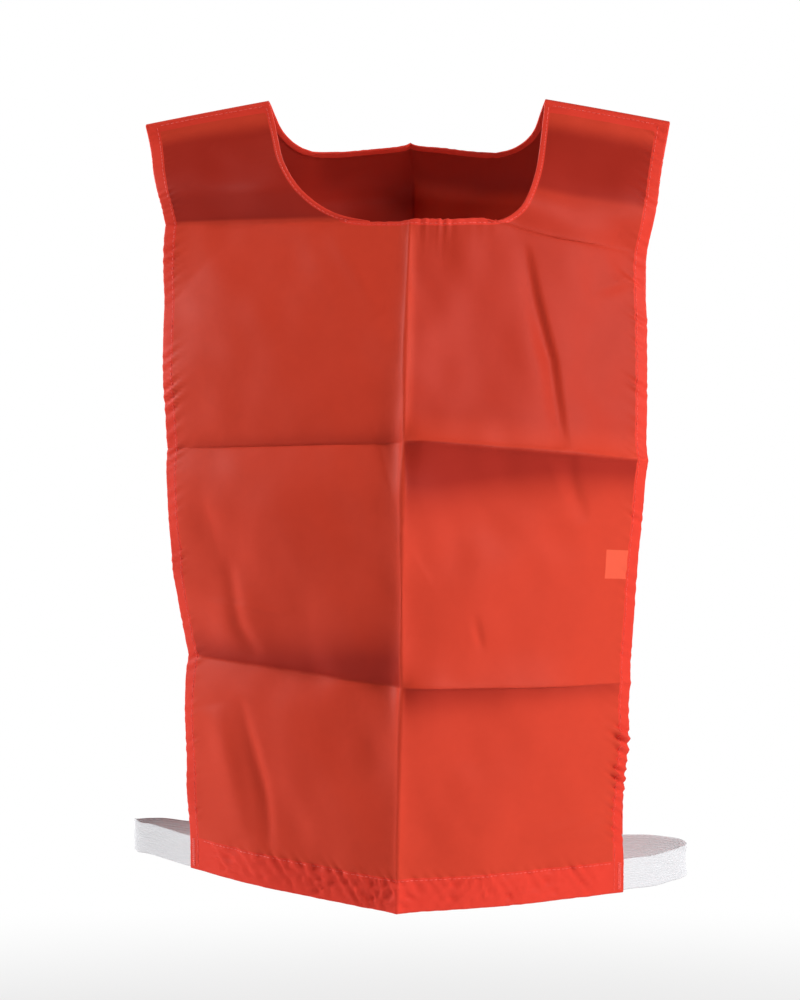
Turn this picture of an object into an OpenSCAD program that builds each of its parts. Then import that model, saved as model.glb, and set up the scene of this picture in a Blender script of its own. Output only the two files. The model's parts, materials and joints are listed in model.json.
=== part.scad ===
// Sports bib (pinnie): a front and a back panel of thin shiny cloth joined at two
// shoulder seams, with an elastic strap at each side. It is drawn as worn on a torso.
//
// +Z is up, the wearer faces -Y and +X is the wearer's left.
// The origin is the middle of the shoulder line, level with the neck end of the seams.
//
// Each panel is one sheet with three fold creases across it and one down the middle.
// A point on a panel is given by s and t: s runs from -1 at one side edge to +1 at the
// other, t is 0 at the shoulder seam, 1, 2 and 3 at the creases and 4 at the bottom edge.

/* [Shoulders and neck] */
// Width over both shoulder seams
shoulder_w = 343; // [320:1:370]
// Half width of the neck opening at the seams
neck_half = 91; // [75:1:100]
// Straight bottom of the front neck opening, wearer's right of centre
neck_flat_r = 24; // [18:1:34]
// Straight bottom of the front neck opening, wearer's left of centre
neck_flat_l = 52; // [40:1:60]
// Half width of the straight bottom of the back neck opening
back_neck_flat = 48; // [38:1:58]
// How far down the yoke the straight side of the neck opening runs
neck_straight = 0.4; // [0.3:0.02:0.6]
// Width of the rounded corner of the front neck opening, wearer's right
neck_corner_r = 44; // [32:1:52]
// Width of the other rounded corners of the neck openings
neck_corner_l = 30; // [18:1:36]
// How deep the back neck opening cuts into its yoke
back_neck_depth = 0.42; // [0.3:0.02:0.6]
// Drop of the shoulder seams from the neck to the sleeve edge
seam_drop = 15; // [5:1:25]
// Gap left for the fold between the two panels at the shoulder line
fold_gap = 7; // [5:0.5:9]

/* [Front panel as worn] */
// Width over the side edges at the first crease
chest_w = 312; // [300:1:330]
// Width over the side edges at the second crease
waist_w = 311; // [295:1:325]
// Width over the side edges at the third crease
skirt_w = 288; // [275:1:310]
// Width over the side edges at the bottom
bottom_w = 280; // [265:1:300]
// Drop of the first crease below the shoulder line
chest_drop = 84; // [75:1:95]
// Drop of the second crease
waist_drop = 226; // [215:1:240]
// Drop of the third crease
skirt_drop = 379; // [365:1:390]
// Drop of the bottom edge at the middle
bottom_drop = 520; // [500:1:535]
// Distance of the middle of the chest in front of the shoulder line
chest_out = 72; // [60:1:85]
// Distance of the middle crease in front of the shoulder line at the waist
waist_out = 114; // [100:1:125]

/* [Cloth and sewing] */
// Cloth thickness
cloth_t = 0.6; // [0.4:0.1:1]
// Thickness of a folded hem
hem_t = 1.3; // [1:0.1:1.6]
// Width of the hems down the side edges
side_hem = 8; // [6:0.5:12]
// Width of the bottom hems
bottom_hem = 22; // [16:1:26]
// Width of the narrow hem round the neck
neck_hem = 3.5; // [3:0.5:5]
// Distance of the shoulder stitching from the seam
seam_inset = 5; // [4:0.5:8]
// Width of a stitched line
stitch_w = 0.8; // [0.6:0.1:1]
// Height of a stitched line over the cloth
stitch_h = 0.5; // [0.4:0.1:0.7]

/* [Straps and label] */
// Width of the elastic
strap_w = 20; // [15:1:25]
// Thickness of the elastic
strap_t = 1.2; // [0.8:0.1:1.6]
// Height of the middle of the straps above the bottom edge
strap_up = 11; // [11:1:24]
// How far the slack loops stand out past the side edges
strap_reach = 68; // [55:1:85]
// Height of the strap loop over its sewn ends
strap_lift = 1; // [0:1:10]
// How far each strap end is tucked in behind the side hem
strap_tuck = 12; // [10:1:16]
// Width of the care label
label_w = 17; // [14:1:26]
// Length of the care label
label_h = 20; // [12:1:24]
// Height of the label, as a place between the second crease (2) and the third (3)
label_at = 2.47; // [2.2:0.01:2.8]

/* [Hidden] */
cloth_red = [0.80, 0.10, 0.07];
thread_red = [0.86, 0.14, 0.09];
elastic_white = [0.93, 0.93, 0.95];
label_white = [0.95, 0.93, 0.92];

front = -1;
back = 1;

// Gap between a piece and the cloth it is sewn to
clear = 0.25;
// Power of the neck corners' curve: 2 would be an ellipse, 1 a straight cut
roundness = 2.3;
// Run over which the cloth thins from a doubled hem to a single layer
turn = 1.2;
// Where stitching lies, as a share of its hem's width from the edge of the cloth inwards
side_stitch_at = 0.8;
neck_stitch_at = 0.65;
bottom_stitch_at = 0.92;
// Bartacks: distance of their middle from the side edge, width and height
bartack_in = 2.8;
bartack_w = 2.4;
bartack_h = 0.7;
label_t = 0.4;

// One row per crease: half width, middle and edge distance from the shoulder line,
// middle and edge height, and how much lower the wearer's left end hangs.
front_rows = [
    [shoulder_w / 2, fold_gap / 2, fold_gap / 2, seam_drop * 0.93, -seam_drop, 0],
    [chest_w / 2, chest_out, 24, -chest_drop, -chest_drop - 9, 10],
    [waist_w / 2, waist_out, 46, -waist_drop, -waist_drop - 7, 4],
    [skirt_w / 2, waist_out - 3, 32, -skirt_drop, -skirt_drop + 8, 8],
    [bottom_w / 2, waist_out - 9, 22, -bottom_drop, -bottom_drop + 12, 7],
];
back_rows = [
    [shoulder_w / 2, fold_gap / 2, fold_gap / 2, seam_drop * 0.93, -seam_drop, 0],
    [chest_w / 2, 84, 30, -78, -90, 3],
    [waist_w / 2, 108, 50, -228, -232, 3],
    [skirt_w / 2, 98, 44, -374, -370, 4],
    [bottom_w / 2, 92, 38, -508, -500, 4],
];

// Heights of the cells that carry the bottom hem and the bottom of the neck opening
skirt_cell = bottom_drop - skirt_drop;
function neck_cell(side) = side == front ? waist_drop - chest_drop : chest_drop + seam_drop;

// Outward bow of the cloth between neighbouring creases
front_bow = [2, 5, 5, 3];
back_bow = [3, 7, 4, 3];

function rows_of(side) = side == front ? front_rows : back_rows;
function bow_of(side) = side == front ? front_bow : back_bow;
function mix(a, b, f) = a + (b - a) * f;
function unit(v) = v / norm(v);

// Values of the crease table at t
function station(side, t) =
    let(k = min(floor(t), 3))
    mix(rows_of(side)[k], rows_of(side)[k + 1], t - k);

// A vee at the middle crease that turns round further towards the side edge
function wrap(a) = 0.62 * a + 0.38 * pow(a, 2.6);

// The yoke stands up at the seam, then leans out over the shoulder and hangs from there
function yoke_lean(t) =
    let(f = min(max((t - 0.05) / 0.75, 0), 1))
    f * f * (3 - 2 * f);

// Point on the outer face of a panel
function cloth(side, s, t) =
    let(k = min(floor(t), 3), row = station(side, t), a = abs(s))
    let(bow = bow_of(side)[k] * sin(180 * (t - k)) * (1 - 0.5 * a))
    let(out = station(side, k > 0 ? t : yoke_lean(t)))
    [s * row[0],
     side * (mix(out[1], out[2], wrap(a)) + bow),
     row[3] + (row[4] - row[3]) * pow(a, 1.15) - row[5] * s];

// Outward unit normal of a panel
function normal(side, s, t) =
    let(h = 0.02, d = s == 0 ? h : 0.004)
    let(ds = cloth(side, s + d, t) - cloth(side, s - d, t))
    let(dt = cloth(side, s, min(t + h, 4)) - cloth(side, s, max(t - h, 0)))
    unit(side * cross(ds, dt));

// Half width of the neck opening at t, on the wearer's left (hand 1) or right (hand -1)
function neck_depth(side) = side == front ? 1 : back_neck_depth;
function neck_flat(side, hand) = side == front ? (hand > 0 ? neck_flat_l : neck_flat_r) : back_neck_flat;
function neck_corner(side, hand) = side == front && hand < 0 ? neck_corner_r : neck_corner_l;
function neck_x(side, hand, t) =
    let(f = t / neck_depth(side), flat = neck_flat(side, hand))
    let(slant = mix(neck_half, flat + neck_corner(side, hand), f))
    let(turned = max(0, (f - neck_straight) / (1 - neck_straight)))
    flat + (slant - flat) * pow(max(0, 1 - pow(turned, roundness)), 1 / roundness);

// Rows of the sheet: t at each row. The neck opening ends at row neck_rows.
neck_rows = 8;
corner_steps = 4;
function neck_t(side) =
    let(d = neck_depth(side), row_mm = norm(cloth(side, 0.8, 0) - cloth(side, 0.8, 1)))
    concat(
        [0, seam_inset / row_mm],
        [for (f = [0.35, 0.7]) mix(seam_inset / row_mm, d * neck_straight, f)],
        [for (i = [0:corner_steps])
            d * (neck_straight + (1 - neck_straight) * sin(90 * i / corner_steps))]);
function between(a, b, n) = [for (i = [1:n - 1]) mix(a, b, i / n)];
function rows_t(side) =
    let(d = neck_depth(side), rim = neck_hem / neck_cell(side), step = turn / neck_cell(side))
    let(hem_top = 4 - bottom_hem / skirt_cell, cloth_end = hem_top - turn / skirt_cell)
    concat(
        neck_t(side),
        [d + rim, d + rim + step],
        d < 1 ? concat(between(d + rim + step, 1, 3), [1]) : [],
        between(1 + (d < 1 ? 0 : rim + step), 2, 5), [2],
        between(2, 3, 5), [3],
        between(3, cloth_end, 4), [cloth_end, hem_top, 4]);

// Columns: distance from the side edge to the neck corner, then on to the middle
side_cols = 9;
mid_cols = 3;
last_col = 2 * (side_cols + mid_cols);
function col_frac(j, reach) =
    let(hem = side_hem / reach, rim = neck_hem / reach, step = turn / reach)
    j == 0 ? 0 : j == 1 ? hem : j == 2 ? hem + step
    : j == side_cols ? 1 : j == side_cols - 1 ? 1 - rim : j == side_cols - 2 ? 1 - rim - step
    : mix(hem + step, 1 - rim - step, (j - 2) / (side_cols - 4));
function col_s(side, hand, j, t) =
    let(w = station(side, t)[0], corner = neck_x(side, hand, min(t, neck_depth(side))) / w)
    j <= side_cols ? 1 - (1 - corner) * col_frac(j, w * (1 - corner))
    : corner * (side_cols + mid_cols - j) / mid_cols;
function grid_s(side, i, j) =
    let(t = rows_t(side)[i], half = side_cols + mid_cols)
    j < half ? -col_s(side, -1, j, t) : j > half ? col_s(side, 1, last_col - j, t) : 0;

// The cloth is doubled under at every hem
function thick(side, i, j) =
    let(last = len(rows_t(side)) - 1, m = min(j, last_col - j))
    let(neck_edge = i <= neck_rows - 1 && m >= side_cols - 1)
    let(neck_base = i >= neck_rows - 1 && i <= neck_rows && m >= side_cols - 1)
    m <= 1 || i >= last - 1 || neck_edge || neck_base ? hem_t : cloth_t;

neck_row = neck_rows - 1;
yoke_width = 2 * (side_cols + 1);
function index(i, j) =
    i >= neck_row ? neck_row * yoke_width + (i - neck_row) * (last_col + 1) + j
    : i * yoke_width + (j <= side_cols ? j : j - last_col + yoke_width - 1);
function in_neck(i, j) = i < neck_row && j >= side_cols && j < last_col - side_cols;

// Edge of the sheet, clockwise as seen from the front
function edge_loop(last) = concat(
    [for (j = [0:side_cols - 1]) index(0, j)],
    [for (i = [0:neck_row - 1]) index(i, side_cols)],
    [for (j = [side_cols:last_col - side_cols - 1]) index(neck_row, j)],
    [for (i = [neck_row:-1:1]) index(i, last_col - side_cols)],
    [for (j = [last_col - side_cols:last_col - 1]) index(0, j)],
    [for (i = [0:last - 1]) index(i, last_col)],
    [for (j = [last_col:-1:1]) index(last, j)],
    [for (i = [last:-1:1]) index(i, 0)]);

function turned(face, side) =
    side == front ? face : [for (i = [len(face) - 1:-1:0]) face[i]];

// A closed sheet from a grid of outer points and the same grid of inner points
module panel(side) {
    ts = rows_t(side);
    last = len(ts) - 1;
    cells = [for (i = [0:last], j = [0:last_col])
        if (i >= neck_row || j <= side_cols || j >= last_col - side_cols) [i, j]];
    outer = [for (c = cells) cloth(side, grid_s(side, c[0], c[1]), ts[c[0]])];
    inner = [for (k = [0:len(cells) - 1])
        let(i = cells[k][0], j = cells[k][1])
        outer[k] - thick(side, i, j) * normal(side, grid_s(side, i, j), ts[i])];
    n = len(outer);
    quads = [for (i = [0:last - 1], j = [0:last_col - 1]) if (!in_neck(i, j))
        [index(i, j), index(i, j + 1), index(i + 1, j + 1), index(i + 1, j)]];
    skin = [for (q = quads) each [[q[0], q[1], q[2]], [q[0], q[2], q[3]]]];
    lining = [for (f = skin) [f[2] + n, f[1] + n, f[0] + n]];
    loop = edge_loop(last);
    m = len(loop);
    rim = [for (k = [0:m - 1])
        let(a = loop[k], b = loop[(k + 1) % m])
        each [[b, a, a + n], [b, a + n, b + n]]];
    faces = [for (f = concat(skin, lining, rim)) turned(f, side)];
    polyhedron(points = concat(outer, inner), faces = faces, convexity = 8);
}

// A flat ribbon along a path. Each place is [point, out, across], all unit directions.
module ribbon(places, width, height) {
    n = len(places);
    ring = [[0, -0.5], [0, 0.5], [1, 0.5], [1, -0.5]];
    points = [for (p = places, c = ring) p[0] + c[0] * height * p[1] + c[1] * width * p[2]];
    walls = [for (i = [0:n - 2], k = [0:3])
        let(a = 4 * i + k, b = 4 * i + (k + 1) % 4)
        each [[a, b, b + 4], [a, b + 4, a + 4]]];
    ends = [[3, 2, 1, 0], [for (k = [0:3]) 4 * (n - 1) + k]];
    polyhedron(points = points, faces = concat(walls, ends), convexity = 8);
}

// Places along a line of sewing on the outer face, through the points [s, t] given
function sewing(side, line) =
    let(n = len(line))
    let(pts = [for (p = line) cloth(side, p[0], p[1])])
    [for (i = [0:n - 1])
        let(out = normal(side, line[i][0], line[i][1]))
        let(along = unit(pts[min(i + 1, n - 1)] - pts[max(i - 1, 0)]))
        [pts[i] + clear * out, out, unit(cross(along, out))]];

// [s, t] of places a fraction f of the way from one column to the next, down some rows
function down_line(side, j, f, first, last) =
    [for (i = [first:last]) [mix(grid_s(side, i, j), grid_s(side, i, j + 1), f), rows_t(side)[i]]];
// The same across a panel, part of the way from one row to the next
function across_line(side, i, f, first, last) =
    [for (j = [first:last])
        [mix(grid_s(side, i, j), grid_s(side, i + 1, j), f), mix(rows_t(side)[i], rows_t(side)[i + 1], f)]];
function from_end(list) = [for (i = [len(list) - 1:-1:0]) list[i]];

module stitches(side, line) {
    color(thread_red) ribbon(sewing(side, line), stitch_w, stitch_h);
}

// Columns next to a side edge: hand -1 is the wearer's right, +1 the wearer's left
function edge_line(side, hand, f, first, last) =
    hand < 0 ? down_line(side, 0, f, first, last) : down_line(side, last_col - 1, 1 - f, first, last);

module side_stitching(side, hand) {
    stitches(side, edge_line(side, hand, side_stitch_at, 1, len(rows_t(side)) - 1));
}

module bottom_stitching(side) {
    hem_row = len(rows_t(side)) - 2;
    stitches(side, across_line(side, hem_row, 1 - bottom_stitch_at, 1, last_col - 1));
}

module shoulder_stitching(hand) {
    first = hand < 0 ? 1 : last_col - side_cols + 1;
    stitches(front, across_line(front, 0, 1, first, first + side_cols - 2));
}

module neck_stitching(side) {
    right = down_line(side, side_cols - 1, 1 - neck_stitch_at, 2, neck_row - 1);
    base = across_line(side, neck_row, neck_stitch_at, side_cols, last_col - side_cols);
    left = down_line(side, last_col - side_cols, neck_stitch_at, 2, neck_row - 1);
    stitches(side, concat(right, base, from_end(left)));
}

// Block of close stitches that holds a strap end to a side hem
strap_t_mid = 4 - strap_up / skirt_cell;
strap_t_half = strap_w / 2 / skirt_cell;
module bartack(side, hand) {
    reach = 1 - bartack_in / station(side, strap_t_mid)[0];
    line = [for (k = [-1:0.5:1]) [hand * reach, strap_t_mid - 0.9 * k * strap_t_half]];
    color(thread_red) ribbon(sewing(side, line), bartack_w, bartack_h);
}

module care_label() {
    steps = 4;
    half = station(front, label_at)[0];
    s_end = 1 - (side_hem - 2) / half;
    s_span = label_w / half;
    t_span = label_h / (skirt_drop - waist_drop);
    grid = [for (i = [0:steps], j = [0:steps])
        [s_end - s_span * (1 - j / steps), label_at + t_span * (i / steps - 0.5)]];
    gap = hem_t + clear;
    function face(depth) =
        [for (g = grid) cloth(front, g[0], g[1]) - (gap + depth) * normal(front, g[0], g[1])];
    n = len(grid);
    w = steps + 1;
    skin = [for (i = [0:steps - 1], j = [0:steps - 1])
        let(a = i * w + j)
        each [[a, a + 1, a + w + 1], [a, a + w + 1, a + w]]];
    lining = [for (f = skin) [f[2] + n, f[1] + n, f[0] + n]];
    loop = concat(
        [for (j = [0:steps - 1]) j],
        [for (i = [0:steps - 1]) i * w + steps],
        [for (j = [steps:-1:1]) steps * w + j],
        [for (i = [steps:-1:1]) i * w]);
    m = len(loop);
    rim = [for (k = [0:m - 1])
        let(a = loop[k], b = loop[(k + 1) % m])
        each [[b, a, a + n], [b, a + n, b + n]]];
    color(label_white)
        polyhedron(points = concat(face(0), face(label_t)), faces = concat(skin, lining, rim));
}

// Slack loop of elastic from inside the front side hem to inside the back side hem
module strap(hand) {
    tucked_steps = 3;
    loop_steps = 14;
    tuck = 1 - strap_tuck / station(front, strap_t_mid)[0];
    gap = hem_t + 2 * clear + strap_t;
    function inside(side, s) =
        cloth(side, hand * s, strap_t_mid) - gap * normal(side, hand * s, strap_t_mid);
    function run(side) = unit(inside(side, 1) - inside(side, tuck));
    function sewn(side) = [for (i = [0:tucked_steps])
        let(s = mix(tuck, 1, i / tucked_steps), out = normal(side, hand * s, strap_t_mid))
        [inside(side, s), out, unit(cross(run(side), out))]];
    a = inside(front, 1);
    d = inside(back, 1);
    b = a + strap_reach * run(front) + [0, 0, strap_lift];
    c = d + strap_reach * run(back) + [0, 0, strap_lift];
    function at(f) =
        pow(1 - f, 3) * a + 3 * f * pow(1 - f, 2) * b + 3 * f * f * (1 - f) * c + pow(f, 3) * d;
    function along(f) = unit(at(f + 0.01) - at(f - 0.01));
    loop = [for (i = [1:loop_steps - 1])
        let(f = i / loop_steps, out = unit(cross(along(f), [0, 0, hand])))
        [at(f), out, unit(cross(along(f), out))]];
    back_end = [for (p = from_end(sewn(back))) [p[0], p[1], -p[2]]];
    color(elastic_white) ribbon(concat(sewn(front), loop, back_end), strap_w, strap_t);
}

module front_panel() { color(cloth_red) panel(front); }
module back_panel() { color(cloth_red) panel(back); }
module left_strap() { strap(1); }
module right_strap() { strap(-1); }
module front_left_side_stitching() { side_stitching(front, 1); }
module front_right_side_stitching() { side_stitching(front, -1); }
module back_left_side_stitching() { side_stitching(back, 1); }
module back_right_side_stitching() { side_stitching(back, -1); }
module front_bottom_stitching() { bottom_stitching(front); }
module back_bottom_stitching() { bottom_stitching(back); }
module front_neck_stitching() { neck_stitching(front); }
module back_neck_stitching() { neck_stitching(back); }
module left_shoulder_stitching() { shoulder_stitching(1); }
module right_shoulder_stitching() { shoulder_stitching(-1); }
module front_left_bartack() { bartack(front, 1); }
module front_right_bartack() { bartack(front, -1); }
module back_left_bartack() { bartack(back, 1); }
module back_right_bartack() { bartack(back, -1); }

front_panel();
back_panel();
left_strap();
right_strap();
care_label();
front_neck_stitching();
back_neck_stitching();
front_left_side_stitching();
front_right_side_stitching();
back_left_side_stitching();
back_right_side_stitching();
front_bottom_stitching();
back_bottom_stitching();
left_shoulder_stitching();
right_shoulder_stitching();
front_left_bartack();
front_right_bartack();
back_left_bartack();
back_right_bartack();
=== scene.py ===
"""A red sports bib as worn: two panels of thin shiny cloth sewn together at the shoulders,
with folded hems, stitching, a care label and a loop of white elastic at each side.

Metres, in the row frame: +Z is up, the wearer faces -Y and +X is the wearer's left.
A place on a panel is (q, t). t is 0 at the shoulder seam, 1, 2 and 3 at the fold creases
and 4 at the bottom edge. q is -2 at the wearer's right side edge, -1 and +1 at the corners
of the neck opening, 0 at the middle crease and +2 at the left side edge.
"""

import json
import math

import bpy
import numpy as np
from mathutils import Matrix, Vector

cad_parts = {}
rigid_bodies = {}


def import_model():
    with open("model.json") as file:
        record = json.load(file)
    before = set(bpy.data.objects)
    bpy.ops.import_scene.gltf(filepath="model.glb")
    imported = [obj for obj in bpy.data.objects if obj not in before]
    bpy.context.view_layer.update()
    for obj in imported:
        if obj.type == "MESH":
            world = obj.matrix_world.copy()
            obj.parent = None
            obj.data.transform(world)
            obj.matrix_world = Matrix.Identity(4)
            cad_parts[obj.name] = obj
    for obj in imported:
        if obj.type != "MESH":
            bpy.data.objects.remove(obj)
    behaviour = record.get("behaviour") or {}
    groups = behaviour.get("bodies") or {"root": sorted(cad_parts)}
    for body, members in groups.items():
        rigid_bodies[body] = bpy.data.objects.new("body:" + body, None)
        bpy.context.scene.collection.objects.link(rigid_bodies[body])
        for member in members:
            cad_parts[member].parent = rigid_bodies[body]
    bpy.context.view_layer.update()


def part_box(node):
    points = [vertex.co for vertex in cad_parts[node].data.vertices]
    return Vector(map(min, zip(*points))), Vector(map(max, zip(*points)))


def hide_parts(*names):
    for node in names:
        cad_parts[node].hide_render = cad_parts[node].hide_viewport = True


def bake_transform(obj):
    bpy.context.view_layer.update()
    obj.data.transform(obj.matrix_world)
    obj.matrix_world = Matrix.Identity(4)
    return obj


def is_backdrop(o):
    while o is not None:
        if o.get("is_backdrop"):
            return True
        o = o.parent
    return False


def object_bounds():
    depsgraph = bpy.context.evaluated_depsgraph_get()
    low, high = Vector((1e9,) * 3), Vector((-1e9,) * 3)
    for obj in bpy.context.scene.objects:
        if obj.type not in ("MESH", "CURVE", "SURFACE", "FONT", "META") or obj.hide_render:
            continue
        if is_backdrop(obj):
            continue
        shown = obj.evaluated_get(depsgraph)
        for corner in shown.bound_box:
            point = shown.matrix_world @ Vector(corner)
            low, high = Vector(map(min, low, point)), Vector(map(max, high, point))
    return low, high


for leftover in list(bpy.data.objects):
    bpy.data.objects.remove(leftover)

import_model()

MM = 0.001
RIGHT, LEFT = -1, 1
WORDS = {LEFT: "left", RIGHT: "right"}

# The flat cloth of a panel, and how far down it the seam, the creases and the bottom lie
HALF_CLOTH = 172 * MM
SEGMENTS = np.array([118, 146, 146, 146]) * MM
DROPS = np.concatenate([[0], np.cumsum(SEGMENTS)])
CREASES = DROPS[1:4]
CLOTH_LENGTH = DROPS[4]

# Hems and cloth
SIDE_HEM = 8 * MM
BOTTOM_HEM = 22 * MM
NECK_HEM = 3.5 * MM
SHOULDER_HEM = 11 * MM
CLOTH_THICK = 0.45 * MM
HEM_THICK = 1.1 * MM
FOLD_ROUND = 3.5 * MM
LEAST_GAP = 0.02 * MM

# Stitching: one stitch, and how far in from the edge each line of them runs
STITCH = dict(length=2.3 * MM, gap=0.9 * MM, radius=0.24 * MM)
SIDE_STITCHES_IN = 6.6 * MM
BOTTOM_STITCHES_IN = BOTTOM_HEM - 1.5 * MM
SHOULDER_STITCHES_IN = 5 * MM
NECK_STITCHES_IN = 2.3 * MM

# The cloth simulation's length and the most that it may move a place
SIM_FRAMES = 24
MOVE_CAP = 5 * MM

# Sizes as drawn here, times how much wider the frame's bib is than the drawn one
DRAWN_WIDTH = 343 * MM
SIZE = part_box("front_panel")[1].x * 2 / DRAWN_WIDTH
NECK_HALF = 91 * MM * SIZE
NECK_STRAIGHT = 0.4
NECK_POWER = 2.3
STRAP_WIDTH = 20 * MM * SIZE
STRAP_REACH = 68 * MM * SIZE


def smooth(a, low, high):
    """0 below low, 1 above high and an even S between."""
    f = np.clip((a - low) / (high - low), 0, 1)
    return f * f * (3 - 2 * f)


def bell(a, width):
    """1 at 0, and falls away on both sides with a round top."""
    return np.exp(-((a / width) ** 2))


def peak(a, width):
    """1 at 0, and falls away on both sides with a sharp top."""
    return np.exp(-np.abs(a) / width)


def unit(v):
    return v / np.linalg.norm(v, axis=-1, keepdims=True)


def lengths_along(path):
    """How far along a path each of its points is."""
    return np.concatenate([[0], np.cumsum(np.linalg.norm(np.diff(path, axis=0), axis=1))])


def ripples(u, v, wavelength, seed, angles=(0, math.pi), count=14):
    """Random waves of about one wavelength, with heights near 1. angles limits their headings."""
    rng = np.random.RandomState(seed)
    total = np.zeros(np.broadcast(u, v).shape)
    for _ in range(count):
        heading = rng.uniform(*angles)
        k = 2 * math.pi / (wavelength * rng.uniform(0.75, 1.35))
        phase = rng.uniform(0, 2 * math.pi)
        total += np.cos(k * (u * math.cos(heading) + v * math.sin(heading)) + phase)
    return total / math.sqrt(count / 2)


# ---------------------------------------------------------------- the shape as worn


class Panel:
    """One panel of cloth. Rows give, at each crease, the half width, how far the middle and
    the edge stand off the shoulder line, their drops, and how far the left end hangs down.
    neck_draw is how far the neck hem draws the cloth up at its left corner. leans are how
    far the middle crease lies to the left at the seam, at each crease and at the bottom."""

    def __init__(self, node, side, rows, bows, neck_depth, necks, neck_draw=0, leans=(0,) * 5):
        self.node = node
        self.side = side
        self.rows = np.array(rows) * MM * SIZE
        self.bows = np.array(bows) * MM * SIZE
        self.neck_depth = neck_depth
        self.necks = necks
        self.neck_draw = neck_draw * MM * SIZE
        self.leans = np.array(leans) * MM * SIZE

    def station(self, t):
        k = np.minimum(np.floor(t).astype(int), 3)
        f = (t - k)[..., None]
        return self.rows[k] * (1 - f) + self.rows[k + 1] * f

    def neck_x(self, hand, t):
        """Half width of the neck opening: a straight slant that rounds into the flat bottom."""
        f = np.minimum(t / self.neck_depth, 1)
        flat, round_width = (width * MM * SIZE for width in self.necks[hand])
        slant = NECK_HALF * (1 - f) + (flat + round_width) * f
        turn = np.clip((f - NECK_STRAIGHT) / (1 - NECK_STRAIGHT), 0, 1)
        return flat + (slant - flat) * (1 - turn**NECK_POWER) ** (1 / NECK_POWER)

    def corner(self, hand, t):
        """The neck corner's share of the half width."""
        return self.neck_x(hand, np.minimum(t, self.neck_depth)) / self.station(t)[..., 0]

    def share(self, q, t):
        """Distance from the middle as a share of the half width, negative on the right."""
        hand = np.where(q < 0, RIGHT, LEFT)
        corner = np.where(hand == RIGHT, self.corner(RIGHT, t), self.corner(LEFT, t))
        a = np.abs(q)
        return hand * np.where(a > 1, 1 - (1 - corner) * (2 - a), corner * a)

    def flat(self, q, t):
        """Place on the flat cloth, in metres across from the middle and down from the seam."""
        down = np.interp(t, range(5), DROPS)
        return self.share(q, t) * HALF_CLOTH, down

    def worn(self, q, t):
        """Place of the cloth as worn, with no creases or wrinkles."""
        q, t = np.broadcast_arrays(np.asarray(q, float), np.asarray(t, float))
        s = self.share(q, t)
        a = np.abs(s)
        row = self.station(t)
        # Across, the middle crease leans and takes the cloth beside it along
        lean = np.interp(t, range(5), self.leans) * bell(s, 0.18)
        # Out from the body, the cloth wraps back faster towards its side edges, bows between
        # creases, and is round at the fold over the shoulder
        eased = self.station(np.where(t < 1, smooth(t, 0.05, 0.8), t))
        wrap = 0.62 * a + 0.38 * a**2.6
        k = np.minimum(np.floor(t).astype(int), 3)
        bow = self.bows[k] * np.sin(math.pi * (t - k)) * (1 - 0.5 * a)
        out = eased[..., 1] * (1 - wrap) + eased[..., 2] * wrap + bow
        out = out * np.sin(np.clip(t * SEGMENTS[0] / FOLD_ROUND, 0, 1) * math.pi / 2)
        # Down, with the left corner of the neck drawn up
        drop = row[..., 3] + (row[..., 4] - row[..., 3]) * a**1.15 - row[..., 5] * s
        drop = drop + self.neck_draw * bell(s - 0.37, 0.17) * bell(t - 1, 0.24)
        return np.stack([s * row[..., 0] + lean, self.side * out, drop], -1)

    def place_of(self, u, v):
        """q and t of a place on the flat cloth."""
        t = np.interp(v, DROPS, range(5))
        hand = np.where(u < 0, RIGHT, LEFT)
        corner = np.where(hand == RIGHT, self.corner(RIGHT, t), self.corner(LEFT, t))
        a = np.abs(u) / HALF_CLOTH
        return hand * np.where(a > corner, 2 - (1 - a) / (1 - corner), a / corner), t

    def q_from_edge(self, hand, t, distance):
        """q at a distance in from a side edge, on the flat cloth."""
        reach = HALF_CLOTH * (1 - self.corner(hand, t))
        return hand * (2 - distance / reach)

    def q_from_neck(self, hand, t, distance):
        """q at a distance out from the neck opening, on the flat cloth."""
        reach = HALF_CLOTH * (1 - self.corner(hand, t))
        return hand * (1 + distance / reach)


def t_from_bottom(distance):
    return 4 - distance / SEGMENTS[3]


def front_and_back():
    front = Panel(
        "front_panel",
        -1,
        [
            (171.5, 3.5, 3.5, 14, -15, 0),
            (156, 72, 24, -84, -93, 10),
            (155.5, 114, 46, -226, -233, 4),
            (144, 111, 32, -379, -371, 8),
            (140, 105, 22, -520, -508, 7),
        ],
        (2, 5, 5, 3),
        neck_depth=1.0,
        necks={RIGHT: (24, 44), LEFT: (52, 30)},
        neck_draw=5.5,
        leans=(5.5, 5.5, 3.5, 2.2, -1),
    )
    back = Panel(
        "back_panel",
        1,
        [
            (171.5, 3.5, 3.5, 14, -15, 0),
            (156, 84, 30, -78, -90, 3),
            (155.5, 108, 50, -228, -232, 3),
            (144, 98, 44, -374, -370, 4),
            (140, 92, 38, -508, -500, 4),
        ],
        (3, 7, 4, 3),
        neck_depth=0.42,
        necks={RIGHT: (48, 30), LEFT: (48, 30)},
    )
    return front, back


# ---------------------------------------------------------------- grids over a panel


def graded(length, fine, coarse, fine_from=True, fine_to=True):
    """Steps from 0 to length that are fine at the chosen ends and coarse between."""
    steps = [0.0]
    while steps[-1] < length:
        left = steps[-1] if fine_from else length
        right = length - steps[-1] if fine_to else length
        near = max(0.0, min(left, right))
        steps.append(steps[-1] + min(coarse, fine + 0.22 * near))
    steps = np.array(steps)
    return steps * length / steps[-1]


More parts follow.
